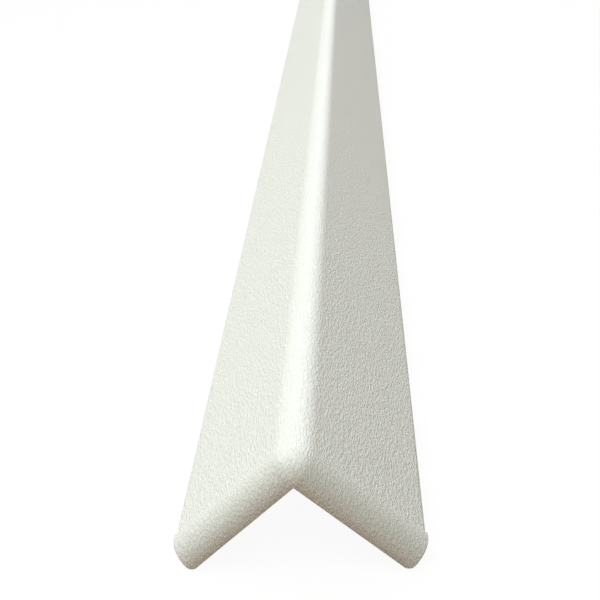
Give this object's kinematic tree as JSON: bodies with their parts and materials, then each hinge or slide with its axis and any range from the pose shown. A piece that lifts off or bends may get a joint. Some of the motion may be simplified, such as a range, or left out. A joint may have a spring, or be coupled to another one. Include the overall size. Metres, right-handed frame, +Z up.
{
  "type": "corner guard moulding",
  "caption": "Off-white vinyl corner guard: a round-nosed L-shaped hollow profile with rolled end caps that covers and protects an outside wall corner.",
  "frame": {"origin": "on the floor under the middle of the guard, which lies as a tent with its nose up", "axes": "+X across the guard, +Y along its length away from the end that the picture shows, +Z up through the nose"},
  "size_m": [0.0714, 1.2192, 0.0383],
  "materials": {
    "profile_vinyl": "off-white rigid vinyl with a fine pebble grain, satin",
    "cap_vinyl": "off-white moulded vinyl with a finer grain, satin"
  },
  "bodies": {
    "root": {"guard_profile": "profile_vinyl", "end_cap_near": "cap_vinyl", "end_cap_far": "cap_vinyl"}
  },
  "joints": []
}
